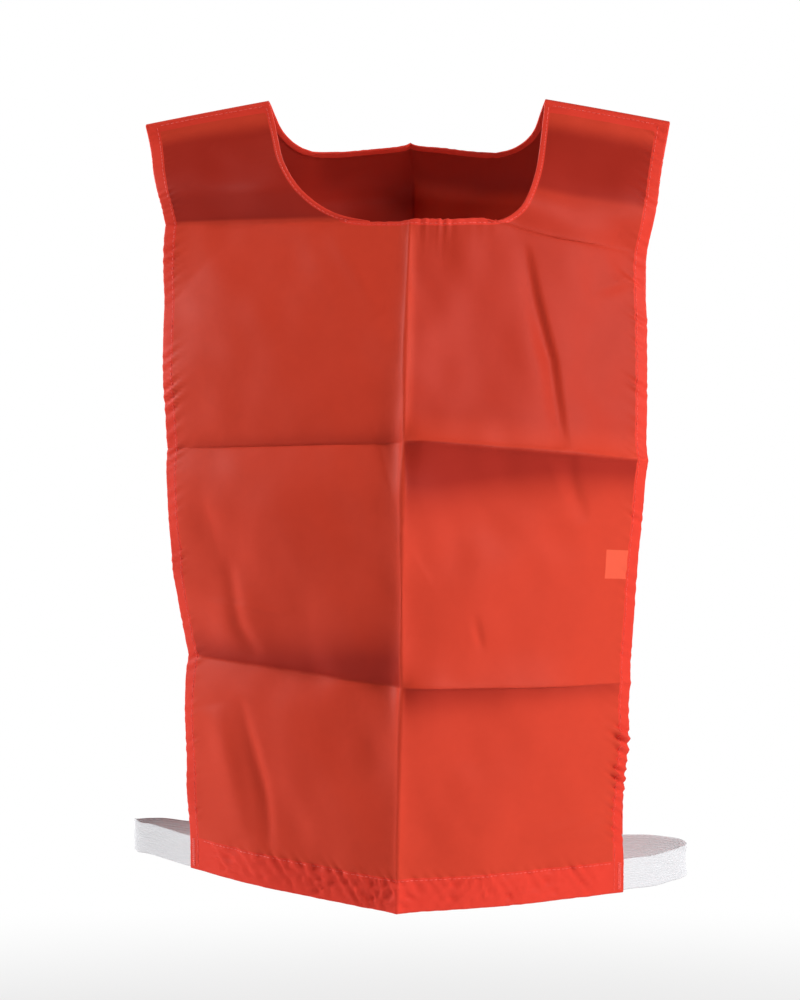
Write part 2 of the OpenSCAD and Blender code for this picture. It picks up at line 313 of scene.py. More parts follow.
def row_places(panel, fine, coarse):
    """t of every row, and the row where the neck opening ends."""
    depth = panel.neck_depth
    yoke = SEGMENTS[0]
    parts = [graded(yoke * depth, fine, coarse) / yoke]
    if depth < 1:
        parts.append(depth + graded(yoke * (1 - depth), fine, coarse)[1:] / yoke)
    for k in (1, 2):
        parts.append(k + graded(SEGMENTS[k], fine, coarse)[1:] / SEGMENTS[k])
    skirt = SEGMENTS[3] - BOTTOM_HEM
    parts.append(3 + graded(skirt, fine, coarse)[1:] / SEGMENTS[3])
    step = 0.5 * MM
    parts.append(3 + (skirt + step) / SEGMENTS[3] + np.zeros(1))
    hem = graded(BOTTOM_HEM - step, fine, min(coarse, 1.7 * MM))[1:]
    parts.append(3 + (skirt + step + hem) / SEGMENTS[3])
    return np.concatenate(parts), len(parts[0]) - 1


def column_places(panel, t, fine, coarse):
    """q of every column of one row, and how many columns lie between an edge and the neck."""
    typical_side, typical_neck = HALF_CLOTH * 0.66, HALF_CLOTH * 0.32
    middle = graded(typical_neck, fine, coarse)
    middle = middle[1:] / middle[-1]
    halves = {}
    for hand in (RIGHT, LEFT):
        if fine >= coarse:
            side = np.linspace(0, 1, int(typical_side / coarse))
        else:
            reach = HALF_CLOTH * (1 - panel.corner(hand, t))
            field = graded(typical_side - SIDE_HEM - NECK_HEM, fine, coarse)
            field = field / field[-1] * (reach - SIDE_HEM - NECK_HEM)
            hem = graded(SIDE_HEM, 0.9 * MM, 1.3 * MM)
            rim = graded(NECK_HEM, 0.8 * MM, 1.2 * MM)
            side = np.concatenate([hem, SIDE_HEM + field[1:], reach - NECK_HEM + rim[1:]]) / reach
        halves[hand] = 2 - np.concatenate([side, 1 + middle])
    return np.concatenate([-halves[RIGHT], halves[LEFT][-2::-1]]), len(side)


class Grid:
    """Places (q, t) in rows and columns over a panel, without the neck opening."""

    def __init__(self, panel, fine, coarse):
        self.rows, self.neck_row = row_places(panel, fine, coarse)
        columns = [column_places(panel, t, fine, coarse) for t in self.rows]
        side_count = columns[0][1]
        self.q = np.array([c[0] for c in columns])
        self.t = np.repeat(self.rows[:, None], self.q.shape[1], 1)
        last = self.q.shape[1] - 1
        column = np.arange(last + 1)
        beside = (column < side_count) | (column > last - side_count)
        below_neck = np.arange(len(self.rows)) >= self.neck_row
        self.used = beside[None, :] | below_neck[:, None]
        index = np.cumsum(self.used.ravel()).reshape(self.used.shape) - 1
        kept = below_neck[:-1, None] | (beside[:-1] & beside[1:])[None, :]
        i, j = np.nonzero(kept)
        quads = np.stack([index[i, j], index[i + 1, j], index[i + 1, j + 1], index[i, j + 1]], -1)
        self.quads = quads if panel.side < 0 else quads[:, ::-1]

    def listed(self, field):
        """The used places' values as one list."""
        return field[self.used]

    def spread(self, values):
        """Values of the used places, back in rows and columns. The neck hole takes the neck row's."""
        out = np.zeros(self.used.shape + values.shape[1:])
        out[self.used] = values
        empty = ~self.used
        for i in range(self.neck_row):
            out[i][empty[i]] = out[self.neck_row][empty[i]]
        return out

    def at(self, field, q, t):
        """A field's value at any q and t, in straight lines between the grid's places."""
        q, t = np.broadcast_arrays(np.asarray(q, float), np.asarray(t, float))
        found = []
        for qi, ti in zip(q.ravel(), t.ravel()):
            i = int(np.clip(np.searchsorted(self.rows, ti) - 1, 0, len(self.rows) - 2))
            f = np.clip((ti - self.rows[i]) / (self.rows[i + 1] - self.rows[i]), 0, 1)
            pair = [
                [np.interp(qi, self.q[r], field[r][:, c]) for c in range(field.shape[2])]
                for r in (i, i + 1)
            ]
            found.append(np.array(pair[0]) * (1 - f) + np.array(pair[1]) * f)
        return np.array(found).reshape(q.shape + (field.shape[2],))


def face_normals(points, quads):
    a, b, c, d = (points[quads[:, k]] for k in range(4))
    return np.cross(c - a, d - b)


def vertex_normals(points, quads):
    total = np.zeros_like(points)
    normals = face_normals(points, quads)
    for k in range(4):
        np.add.at(total, quads[:, k], normals)
    return total / np.maximum(np.linalg.norm(total, axis=1, keepdims=True), 1e-12)


# ---------------------------------------------------------------- creases, folds and puckers


def crease_relief(u, v):
    """Fold creases: the middle one is a ridge. The cross ones stand out on the wearer's left
    and in on the right, as in cloth folded in half first and then across. Hems soften them."""
    height = 2.4 * peak(u, 6 * MM) + 0.5 * peak(u, 1.6 * MM)
    hand = np.tanh(u / (9 * MM)) * (1 - 0.55 * smooth(np.abs(u), 120 * MM, HALF_CLOTH))
    for line, out in zip(CREASES, (2.6, 7.2, 7.4)):
        height = height + hand * (out * peak(v - line, 20 * MM) + 0.9 * peak(v - line, 1.8 * MM))
        height = height - 2.0 * peak(np.hypot(u, v - line), 10 * MM)
    return height * MM


def nearest(path, u, v):
    """From a path on the flat cloth: the distance, the side and the place along it, 0 to 1."""
    best = np.full(u.shape, 1e9)
    side = np.zeros(u.shape)
    along = np.zeros(u.shape)
    start = lengths_along(path)
    start = start / start[-1]
    for k, (a, b) in enumerate(zip(path[:-1], path[1:])):
        d = b - a
        f = np.clip(((u - a[0]) * d[0] + (v - a[1]) * d[1]) / (d @ d), 0, 1)
        du, dv = u - a[0] - f * d[0], v - a[1] - f * d[1]
        distance = np.hypot(du, dv)
        closer = distance < best
        best = np.where(closer, distance, best)
        side = np.where(closer, d[0] * dv - d[1] * du, side)
        along = np.where(closer, start[k] + f * (start[k + 1] - start[k]), along)
    return best, side, along


def soft_fold(u, v, path, width, height, sharp=1.0):
    """A rounded fold along a path. sharp over 1 makes its left side steeper, as seen going
    up the path. Path, width and height are in mm."""
    distance, side, along = nearest(np.array(path, float) * MM, u, v)
    reach = width * MM / np.where(side < 0, sharp, 1)
    return height * MM * bell(distance, reach) * np.sin(math.pi * along) ** 0.6


FRONT_FOLDS = [
    dict(path=[(-132, 38), (-100, 58), (-74, 76)], width=10, height=1.2),
    dict(path=[(60, 96), (105, 100), (150, 106)], width=13, height=2.6),
    dict(path=[(86, 128), (94, 160), (106, 200), (113, 262)], width=8, height=-3.2, sharp=3.6),
    dict(path=[(113, 262), (120, 282), (131, 306)], width=7, height=-2.0, sharp=1.6),
    dict(path=[(134, 151), (150, 143), (166, 136)], width=5, height=1.2),
    dict(path=[(-53, 122), (-35, 150), (-18, 182)], width=7, height=1.8),
    dict(path=[(-145, 150), (-95, 200), (-62, 252)], width=24, height=2.8),
    dict(path=[(-140, 310), (-70, 296), (-14, 276)], width=26, height=2.6),
    dict(path=[(-130, 338), (-122, 384), (-111, 404)], width=6, height=-2.2),
    dict(path=[(-158, 369), (-115, 370), (-72, 373)], width=1.8, height=0.8),
    dict(path=[(16, 340), (60, 306), (104, 276)], width=22, height=-2.4),
    dict(path=[(54, 366), (57, 376), (61, 388)], width=3.2, height=-1.3),
    dict(path=[(-146, 440), (-136, 470), (-124, 525)], width=13, height=3.2, sharp=1.5),
    dict(path=[(-126, 432), (-115, 463), (-106, 497), (-102, 536)], width=6, height=-2.4, sharp=1.4),
    dict(path=[(92, 514), (124, 509), (156, 501)], width=6, height=1.5),
    dict(path=[(150, 430), (110, 462), (56, 506)], width=20, height=2.2),
]
BACK_FOLDS = [
    dict(path=[(-70, 144), (-84, 204), (-80, 262)], width=10, height=2.6, sharp=1.5),
    dict(path=[(60, 130), (70, 184), (96, 249)], width=14, height=-2.0),
    dict(path=[(104, 284), (96, 334), (110, 394)], width=9, height=2.2),
    dict(path=[(-120, 314), (-90, 354), (-84, 402)], width=14, height=-1.8),
    dict(path=[(-40, 434), (-60, 474), (-52, 534)], width=10, height=2.0),
    dict(path=[(120, 426), (108, 484), (114, 539)], width=9, height=-2.4),
]


def patches(u, v, size, seed):
    """Between 0 and 1 in soft patches."""
    return np.clip(0.5 + 0.6 * ripples(u, v, size, seed, count=6), 0, 1)


def side_puckers(u, v, seed):
    """Little gathers where the sewing has drawn up the side hems, most low on the left."""
    total = np.zeros(u.shape)
    for hand in (RIGHT, LEFT):
        from_edge = HALF_CLOTH - hand * u
        wave = ripples(v + 0.6 * from_edge, 0 * v, 7.5 * MM, seed + hand, (0, 0.1))
        strength = 0.3 + 0.6 * patches(v, 0 * v, 50 * MM, seed + 7 * hand)
        if hand == LEFT:
            strength += 1.1 * smooth(v, 420 * MM, 445 * MM) * (1 - smooth(v, 505 * MM, 530 * MM))
        beside = peak(from_edge - SIDE_HEM, 5 * MM)
        on_hem = 0.3 * smooth(SIDE_HEM - from_edge, 0, 2 * MM)
        total += 0.55 * MM * wave * strength * (beside + on_hem)
    return total


def bottom_crinkles(u, v, seed):
    """Sharp little crinkles over the bottom hem, and slanting gathers at its stitches."""
    from_bottom = CLOTH_LENGTH - v
    on_hem = smooth(BOTTOM_HEM + 3 * MM - from_bottom, 0, 5 * MM)
    on_hem = on_hem * (0.3 + 0.7 * smooth(from_bottom, 0, 8 * MM))
    total = np.zeros(u.shape)
    for size, amount in ((8, 0.4), (13, 0.75)):
        crinkle = 0.7 - np.abs(ripples(u, v, size * MM, seed + size))
        strength = 0.6 + 0.6 * patches(u, v, 40 * MM, seed + 30 + size)
        total += amount * MM * crinkle * strength * on_hem
    wave = ripples(u + 0.8 * from_bottom, 0 * v, 9 * MM, seed + 9, (0, 0.1))
    at_stitches = peak(from_bottom - BOTTOM_HEM, 4 * MM)
    return total + MM * wave * (0.22 * at_stitches + 0.2 * on_hem)


def hem_puckers(u, v, seed):
    """Puckers of the side and bottom hems. The sewn strap ends hold them nearly flat."""
    beside_strap = smooth(HALF_CLOTH - np.abs(u), 12 * MM, 22 * MM)
    above_strap = smooth(CLOTH_LENGTH - v, 26 * MM, 36 * MM)
    free = np.maximum(np.maximum(beside_strap, above_strap), 0.12)
    return (side_puckers(u, v, seed) + bottom_crinkles(u, v, seed)) * free


def neck_outline(panel):
    """The edge of the neck opening on the flat cloth, from one shoulder round to the other."""
    t = panel.neck_depth * np.sin(np.linspace(0, math.pi / 2, 60))
    right, left = (np.stack(panel.flat(np.full(60, float(hand)), t), -1) for hand in (RIGHT, LEFT))
    return np.concatenate([right, left[::-1]])


def neck_gathers(panel, u, v, seed):
    """Small pleats at the neck hem, most just beside the middle of the front."""
    path = neck_outline(panel)
    distance, _, along = nearest(path, u, v)
    wave = ripples(along * lengths_along(path)[-1], 0 * v, 7 * MM, seed, (0, 0.1))
    gathered = 0.15 + 0.9 * (panel.side < 0) * bell(u - 18 * MM, 24 * MM)
    return 0.6 * MM * wave * peak(distance, 7 * MM) * gathered


def relief(panel, grid, folds, seed):
    """Height of every crease, fold and pucker over the smooth worn shape."""
    u, v = panel.flat(grid.q, grid.t)
    height = crease_relief(u, v)
    for fold in folds:
        height = height + soft_fold(u, v, **fold)
    height = height + 1.0 * MM * ripples(u, v, 90 * MM, seed)
    height = height + 0.2 * MM * ripples(u, v, 32 * MM, seed + 1)
    height = height + hem_puckers(u, v, seed + 2) + neck_gathers(panel, u, v, seed + 3)
    off_seam = smooth(grid.t * SEGMENTS[0], 1 * MM, 14 * MM)
    return height * off_seam


# ---------------------------------------------------------------- meshes


def make_object(name, points, faces):
    mesh = bpy.data.meshes.new(name)
    mesh.from_pydata([tuple(p) for p in points], [], [tuple(f) for f in faces])
    mesh.update()
    mesh.polygons.foreach_set("use_smooth", [True] * len(mesh.polygons))
    made = bpy.data.objects.new(name, mesh)
    bpy.context.scene.collection.objects.link(made)
    return made


def add_uv(made, uv):
    """uv is one place per vertex, in metres on the flat cloth."""
    layer = made.data.uv_layers.new(name="UVMap")
    corner = np.zeros(len(made.data.loops), int)
    made.data.loops.foreach_get("vertex_index", corner)
    layer.data.foreach_set("uv", np.asarray(uv, np.float32)[corner].ravel())


def add_value(made, name, values):
    attribute = made.data.attributes.new(name, "FLOAT", "POINT")
    attribute.data.foreach_set("value", np.asarray(values, np.float32))


def open_edges(quads):
    """Edges with cloth on one side only, in the direction their face goes round."""
    edges = np.concatenate([quads[:, [k, (k + 1) % 4]] for k in range(4)])
    key = np.sort(edges, axis=1)
    _, where, count = np.unique(key, axis=0, return_inverse=True, return_counts=True)
    return edges[count[where.ravel()] == 1]


def shell(points, quads, thickness):
    """A closed sheet with rounded edges from its outer face. Returns its points and faces, the
    outer point that each point belongs to, and the outer points' normals and inner places."""
    normals = vertex_normals(points, quads)
    inner = points - normals * thickness[:, None]
    n = len(points)
    edges = open_edges(quads)
    a, b = edges[:, 0], edges[:, 1]
    run = points[b] - points[a]
    outward = np.cross(run, normals[a])
    push = np.zeros_like(points)
    np.add.at(push, a, outward)
    np.add.at(push, b, outward)
    ends = np.unique(edges)
    push = push[ends] / np.linalg.norm(push[ends], axis=1, keepdims=True)
    rim = (points[ends] + inner[ends]) / 2 + push * (thickness[ends] * 0.5)[:, None]
    rim_of = np.full(n, -1)
    rim_of[ends] = 2 * n + np.arange(len(ends))
    faces = [quads, quads[:, ::-1] + n]
    faces.append(np.stack([b, a, rim_of[a], rim_of[b]], -1))
    faces.append(np.stack([rim_of[b], rim_of[a], a + n, b + n], -1))
    source = np.concatenate([np.arange(n), np.arange(n), ends])
    return np.concatenate([points, inner, rim]), np.concatenate(faces), source, normals, inner


def cloth_weights(panel, u, v, seed):
    """How firmly each place is held, and how much spare cloth it has, both from 0 to 1."""
    inside = -hem_depth(panel, u, v)
    spare = np.maximum(bell(inside - 6 * MM, 13 * MM), 0.12 + 0.1 * ripples(u, v, 90 * MM, seed + 40))
    tack_height = np.abs(CLOTH_LENGTH - v - 12 * MM)
    tacked = (HALF_CLOTH - np.abs(u) < 16 * MM) & (tack_height < 14 * MM)
    held = 0.22 + 0.5 * smooth(inside, 8 * MM, 45 * MM)
    held = np.where(tacked | (v < 6 * MM), 1.0, held)
    return held, np.clip(spare, 0, 1)


def settle(panel, folds, seed):
    """Lets the creased cloth settle. It is held softly in its worn shape, and the cloth beside
    each hem has a little to spare, so it buckles into gathers. Returns the coarse grid and the
    move of each of its places."""
    grid = Grid(panel, 4.2 * MM, 4.2 * MM)
    q, t = grid.listed(grid.q), grid.listed(grid.t)
    base = panel.worn(q, t)
    lift = grid.listed(relief(panel, grid, folds, seed))
    start = base + vertex_normals(base, grid.quads) * lift[:, None]
    made = make_object("settling_" + panel.node, start, grid.quads)
    held, spare = cloth_weights(panel, *panel.flat(q, t), seed)
    for name, weights in (("held", held), ("spare", spare)):
        group = made.vertex_groups.new(name=name)
        for k, weight in enumerate(weights):
            group.add([k], float(weight), "REPLACE")
    cloth = made.modifiers.new("Cloth", "CLOTH")
    settings = cloth.settings
    settings.quality = 6
    settings.mass = 0.05
    settings.tension_stiffness = 40
    settings.compression_stiffness = 40
    settings.shear_stiffness = 10
    settings.bending_stiffness = 0.02
    settings.air_damping = 2
    settings.vertex_group_mass = "held"
    settings.pin_stiffness = 2
    settings.vertex_group_shrink = "spare"
    settings.shrink_min = 0
    settings.shrink_max = -0.06
    settings.effector_weights.gravity = 0.2
    cloth.collision_settings.use_collision = False
    cloth.point_cache.frame_start = 1
    cloth.point_cache.frame_end = SIM_FRAMES
    for step in range(1, SIM_FRAMES + 1):
        bpy.context.scene.frame_set(step)
    seen = made.evaluated_get(bpy.context.evaluated_depsgraph_get())
    settled = np.zeros(len(start) * 3)
    seen.data.vertices.foreach_get("co", settled)
    move = settled.reshape(-1, 3) - start
    length = np.linalg.norm(move, axis=1, keepdims=True)
    move = move * np.minimum(1, MOVE_CAP / np.maximum(length, 1e-9))
    bpy.data.objects.remove(made)
    bpy.context.scene.frame_set(1)
    return grid, grid.spread(move)


def build_panel(panel, folds, seed):
    moves = settle(panel, folds, seed)
    grid = Grid(panel, 0.9 * MM, 2.0 * MM)
    q, t = grid.listed(grid.q), grid.listed(grid.t)
    base = panel.worn(q, t)
    lift = grid.listed(relief(panel, grid, folds, seed))
    points = base + vertex_normals(base, grid.quads) * lift[:, None]
    if moves:
        points = points + moves[0].at(moves[1], q, t)
    points[:, 1] = panel.side * np.maximum(panel.side * points[:, 1], LEAST_GAP)
    u, v = panel.flat(q, t)
    hem = hem_depth(panel, u, v)
    thickness = CLOTH_THICK + (HEM_THICK - CLOTH_THICK) * smooth(hem, -0.3 * MM, 0.3 * MM)
    solid, faces, source, normals, inner = shell(points, grid.quads, thickness)
    solid[:, 1] = panel.side * np.maximum(panel.side * solid[:, 1], LEAST_GAP)
    made = make_object(panel.node + "_cloth", solid, faces)
    add_uv(made, np.stack([u, v], -1)[source])
    add_value(made, "hem", hem[source])
    # How much painted shade darkens the colour at each place
    add_value(made, "painted_shade", painted_shade(panel, u, v)[source])
    panel.grid = grid
    panel.outer = grid.spread(points)
    panel.inner = grid.spread(inner)
    panel.normal = grid.spread(normals)
    return made


def hem_depth(panel, u, v):
    """How far inside a hem's edge a place is: positive on a hem, negative on single cloth."""
    depth = np.maximum(SIDE_HEM - (HALF_CLOTH - np.abs(u)), BOTTOM_HEM - (CLOTH_LENGTH - v))
    depth = np.maximum(depth, SHOULDER_HEM - v)
    return np.maximum(depth, NECK_HEM - nearest(neck_outline(panel), u, v)[0])


# Painted shade beside half creases where the cloth turns in: below them on the left, above on
# the right. reach is in mm.
PAINTED_CREASE_SHADE = [
    dict(crease=2, hand=LEFT, strength=2.0, reach=30),
    dict(crease=3, hand=RIGHT, strength=1.4, reach=27),
    dict(crease=2, hand=RIGHT, strength=0.4, reach=9),
    dict(crease=3, hand=LEFT, strength=0.9, reach=16),
]


def painted_shade(panel, u, v):
    """Painted shade, up to 1: darkens the cloth's colour over the shoulders, on the front's upper
    chest on the wearer's left, and beside creases where the cloth turns in. Over the shoulders
    it reaches the first crease on the right and stops well above on the left."""
    foot = np.where(u > 0, 74 * MM, 114.5 * MM)
    fade = np.where(u > 0, 14 * MM, 3 * MM)
    close = 1 - smooth(v, foot, foot + fade)
    if panel.node == "front_panel":
        # Painted shade over the upper chest on the wearer's left of the front
        chest = 0.42 * smooth(u, 2 * MM, 8 * MM) * (1 - smooth(v, 240 * MM, 262 * MM))
        close = np.maximum(close, chest)
    close = close * smooth(v, 14 * MM, 31 * MM)
    middle = 0.6 + 0.4 * bell(u, 80 * MM)
    # Painted shade beside each listed half crease, strongest near the middle
    for crease_shade in PAINTED_CREASE_SHADE:
        hand = crease_shade["hand"]
        beyond = (v - CREASES[crease_shade["crease"] - 1]) * hand
        shade = crease_shade["strength"] * middle * bell(beyond, crease_shade["reach"] * MM * middle)
        shade = shade * smooth(beyond, -0.6 * MM, 0.6 * MM) * smooth(hand * u, 0, 2 * MM)
        close = np.maximum(close, np.minimum(shade, 1))
    return close


# ---------------------------------------------------------------- sewing


def tube_faces(rings, around):
    """Faces that join rings of points into a tube and close both ends."""
    faces = []
    for i in range(rings - 1):
        for k in range(around):
            a, b = i * around + k, i * around + (k + 1) % around
            faces.append((a, b, b + around, a + around))
    faces.append(tuple(range(around - 1, -1, -1)))
    faces.append(tuple((rings - 1) * around + k for k in range(around)))
    return faces


def capsule(segments=6):
    """A unit stitch along X from -1 to 1, radius 1, as points and faces."""
    rings = [(-1.0, 0.35), (-0.82, 0.85), (-0.4, 1.0), (0.4, 1.0), (0.82, 0.85), (1.0, 0.35)]
    points = [
        (x, r * math.cos(2 * math.pi * k / segments), r * math.sin(2 * math.pi * k / segments))
        for x, r in rings
        for k in range(segments)
    ]
    return np.array(points), tube_faces(len(rings), segments)


def resample(path, normals, step):
    """Points and normals at even steps along a path."""
    along = lengths_along(path)
    count = max(2, int(along[-1] / step))
    places = (np.arange(count) + 0.5) * along[-1] / count

    def at(field, where):
        return np.stack([np.interp(where, along, field[:, c]) for c in range(3)], -1)

    runs = at(path, places + step / 3) - at(path, places - step / 3)
    return at(path, places), at(normals, places), runs


def thread_mesh(name, centres, outs, runs, length, radius):
    """One stitch at each centre, lying along its run."""
    shape, faces = capsule()
    points, all_faces = [], []
    for centre, out, run in zip(centres, outs, runs):
        x = unit(run)
        y = unit(np.cross(out, x))
        z = np.cross(x, y)
        base = len(points) * len(shape)
        stitch = (
            centre
            + shape[:, :1] * x * length / 2
            + shape[:, 1:2] * y * radius
            + (shape[:, 2:] * 0.8 + 0.25) * z * radius
        )
        points.append(stitch)
        all_faces += [tuple(base + k for k in f) for f in faces]
    return make_object(name, np.concatenate(points), all_faces)


def seam(name, panel, q, t):
    """A row of stitches through places on a panel's outer face."""
    path = panel.grid.at(panel.outer, q, t)
    normals = panel.grid.at(panel.normal, q, t)
    centres, outs, runs = resample(path, normals, STITCH["length"] + STITCH["gap"])
    return thread_mesh(name, centres, unit(outs), runs, STITCH["length"], STITCH["radius"])


def side_seam(panel, hand, name):
    t = np.linspace(6 * MM / SEGMENTS[0], 3.995, 260)
    return seam(name, panel, panel.q_from_edge(hand, t, SIDE_STITCHES_IN), t)


def bottom_seam(panel, name):
    t = t_from_bottom(BOTTOM_STITCHES_IN)
    edge = abs(panel.q_from_edge(LEFT, np.array(t), SIDE_HEM + 1 * MM))
    return seam(name, panel, np.linspace(-edge, edge, 200), t)


def shoulder_seam(panel, hand, name):
    t = SHOULDER_STITCHES_IN / SEGMENTS[0]
    outer = panel.q_from_edge(hand, np.array(t), SIDE_HEM + 1 * MM)
    inner = panel.q_from_neck(hand, np.array(t), NECK_HEM + 1 * MM)
    return seam(name, panel, np.linspace(outer, inner, 60), t)


def t_at_height(panel, face, q, height, first):
    """t where a panel's face, at one q and below t = first, is at each height."""
    t = np.linspace(first, 4, 300)
    heights = panel.grid.at(face, np.full(len(t), q), t)[:, 2]
    return np.interp(-height, -heights, t)


def neck_seam(panel, name):
    """Stitches at an even distance outside the neck opening."""
    path = neck_outline(panel)
    along = lengths_along(path)
    places = np.linspace(6 * MM, along[-1] - 6 * MM, 300)
    path = np.stack([np.interp(places, along, path[:, c]) for c in range(2)], -1)
    run = unit(np.gradient(path, axis=0))
    outwards = np.stack([-run[:, 1], run[:, 0]], -1)
    q, t = panel.place_of(*(path + outwards * NECK_STITCHES_IN).T)
    return seam(name, panel, q, t)


def bartack(panel, hand, node):
    """Close zigzag stitches across a hem that hold a strap end."""
    low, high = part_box(node)
    turns = 26
    edge = panel.q_from_edge(hand, np.array([3.8]), 3 * MM)[0]
    t = t_at_height(panel, panel.outer, edge, np.linspace(high.z, low.z, turns), 3.6)
    inner_q = panel.q_from_edge(hand, t, 4.3 * MM)
    outer_q = panel.q_from_edge(hand, t, 1.5 * MM)
    q = np.where(np.arange(turns) % 2 == 0, inner_q, outer_q)
    path = panel.grid.at(panel.outer, q, t)
    outs = unit(panel.grid.at(panel.normal, q, t))
    middles = (path[:-1] + path[1:]) / 2
    runs = np.diff(path, axis=0)
    return thread_mesh(node + "_stitches", middles, outs[:-1], runs, 3.0 * MM, 0.26 * MM)


# ---------------------------------------------------------------- straps and label


def bezier(a, b, c, d, count):
    f = np.linspace(0, 1, count)[:, None]
    return (1 - f) ** 3 * a + 3 * f * (1 - f) ** 2 * b + 3 * f * f * (1 - f) * c + f**3 * d


def strap_path(front, back, hand):
    """From inside the front hem round the slack loop to inside the back hem."""
    ends = []
    for panel, word in ((front, "front"), (back, "back")):
        tack_low, tack_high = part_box("%s_%s_bartack" % (word, WORDS[hand]))
        t = t_at_height(panel, panel.inner, hand * 2.0, (tack_low.z + tack_high.z) / 2, 3.6)
        q = panel.q_from_edge(hand, np.full(4, t), np.array([12, 8, 4, 0.2]) * MM)
        inside = panel.grid.at(panel.inner, q, np.full(4, t))
        normals = unit(panel.grid.at(panel.normal, q, np.full(4, t)))
        ends.append((inside - normals * 1.5 * MM, normals))
    (a, out_a), (d, out_d) = ends
    lift = np.array([0, 0, 1 * MM])
    pull_a = unit(a[-1] - a[0]) * STRAP_REACH + lift
    pull_d = unit(d[-1] - d[0]) * STRAP_REACH + lift
    loop = bezier(a[-1], a[-1] + pull_a, d[-1] + pull_d, d[-1], 80)
    path = np.concatenate([a[:-1], loop, d[-2::-1]])
    along = unit(np.gradient(path, axis=0))
    out = unit(np.cross(along, [0, 0, hand]))
    out[:3] = out_a[:3]
    out[-3:] = out_d[2::-1]
    out = unit(out - along * (out * along).sum(1)[:, None])
    return path, along, out


def strap(front, back, hand, node):
    """A band of ribbed knitted elastic."""
    path, along, out = strap_path(front, back, hand)
    across = unit(np.cross(along, out))
    across = np.where(across[:, 2:] < 0, -across, across)
    samples, rib_count = 53, 13
    w = np.linspace(-1, 1, samples)
    rounded = np.sqrt(np.maximum(1 - np.abs(w) ** 14, 0))
    half = rounded * (0.5 * MM + 0.10 * MM * np.cos(w * math.pi * rib_count))
    ring_w = np.concatenate([w, w[-2:0:-1]]) * STRAP_WIDTH / 2
    ring_h = np.concatenate([half, -half[-2:0:-1]])
    wobble = 0.25 * MM * ripples(np.arange(len(path)) * 1.5 * MM, 0, 30 * MM, 5 + hand, (0, 0.1), 4)
    points = (
        path[:, None, :]
        + across[:, None, :] * (ring_w[None, :, None] + wobble[:, None, None])
        + out[:, None, :] * ring_h[None, :, None]
    )
    faces = tube_faces(len(path), len(ring_w))
    made = make_object(node.replace("_strap", "_elastic"), points.reshape(-1, 3), faces)
    uv = np.stack(np.broadcast_arrays(ring_w[None, :], lengths_along(path)[:, None]), -1)
    add_uv(made, uv.reshape(-1, 2))
    return made


def care_label(panel, node):
    """A blank folded label sewn into the side hem, hanging inside the cloth."""
    low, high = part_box(node)
    ends = np.array([high.z - 0.5 * MM, low.z + 0.5 * MM])
    top, bottom = t_at_height(panel, panel.inner, 1.85, ends, 2)
    steps = 15
    f = np.linspace(0, 1, steps)
    t = np.repeat((top + (bottom - top) * f)[:, None], steps, 1)
    width = 16.5 * MM
    q = panel.q_from_edge(LEFT, t, SIDE_HEM - 1 * MM + width * (1 - f)[None, :])
    inside = panel.grid.at(panel.inner, q, t)
    normals = unit(panel.grid.at(panel.normal, q, t))
    curl = 0.9 * MM + 1.6 * MM * (1 - f)[None, :] ** 2 + 0.3 * MM * np.sin(f * 5)[:, None]
    points = (inside - normals * curl[..., None]).reshape(-1, 3)
    i, j = np.indices((steps - 1, steps - 1)).reshape(2, -1)
    a = i * steps + j
    quads = np.stack([a, a + steps, a + steps + 1, a + 1], -1)
    solid, faces, source, _, _ = shell(points, quads, np.full(len(points), 0.35 * MM))
    made = make_object("care_label_satin", solid, faces)
    grid_uv = np.stack(np.broadcast_arrays(f[None, :] * width, f[:, None] * width), -1)
    add_uv(made, grid_uv.reshape(-1, 2)[source])
    return made, (q, t)


# ---------------------------------------------------------------- materials


class Nodes:
    """Short names for building a node material."""

    def __init__(self, name):
        self.material = bpy.data.materials.new(name)
        self.material.use_nodes = True
        self.tree = self.material.node_tree
        self.tree.nodes.clear()

    def add(self, kind, **settings):
        node = self.tree.nodes.new(kind)
        for key, value in settings.items():
            setattr(node, key, value)
        return node

    def link(self, source, target):
        self.tree.links.new(source, target)

    def put(self, socket, value):
        if isinstance(value, bpy.types.NodeSocket):
            self.link(value, socket)
        else:
            socket.default_value = value

    def maths(self, operation, a, b):
        node = self.add("ShaderNodeMath", operation=operation)
        self.put(node.inputs[0], a)
        self.put(node.inputs[1], b)
        return node.outputs[0]

    def blend(self, factor, a, b):
        node = self.add("ShaderNodeMix", data_type="RGBA")
        self.put(node.inputs[0], factor)
        self.put(node.inputs[6], a)
        self.put(node.inputs[7], b)
        return node.outputs[2]

    def noise(self, coords, scale, detail):
        node = self.add("ShaderNodeTexNoise")
        self.link(coords, node.inputs["Vector"])
        node.inputs["Scale"].default_value = scale
        node.inputs["Detail"].default_value = detail
        return node.outputs["Fac"]

    def wave(self, coords, direction, pitch):
        """Fine even threads. pitch is in metres."""
        wave_length_at_scale_1 = 0.314
        node = self.add("ShaderNodeTexWave", bands_direction=direction)
        self.link(coords, node.inputs["Vector"])
        node.inputs["Scale"].default_value = wave_length_at_scale_1 / pitch
        return node.outputs["Fac"]

    def bump(self, height, strength, distance, shader):
        """Gives a shader a surface raised by height, at most by distance, in metres."""
        node = self.add("ShaderNodeBump")
        node.inputs["Strength"].default_value = strength
        node.inputs["Distance"].default_value = distance
        self.link(height, node.inputs["Height"])
        self.link(node.outputs[0], shader.inputs["Normal"])


def finish_material(nodes, shader):
    output = nodes.add("ShaderNodeOutputMaterial")
    nodes.link(shader, output.inputs["Surface"])
    return nodes.material


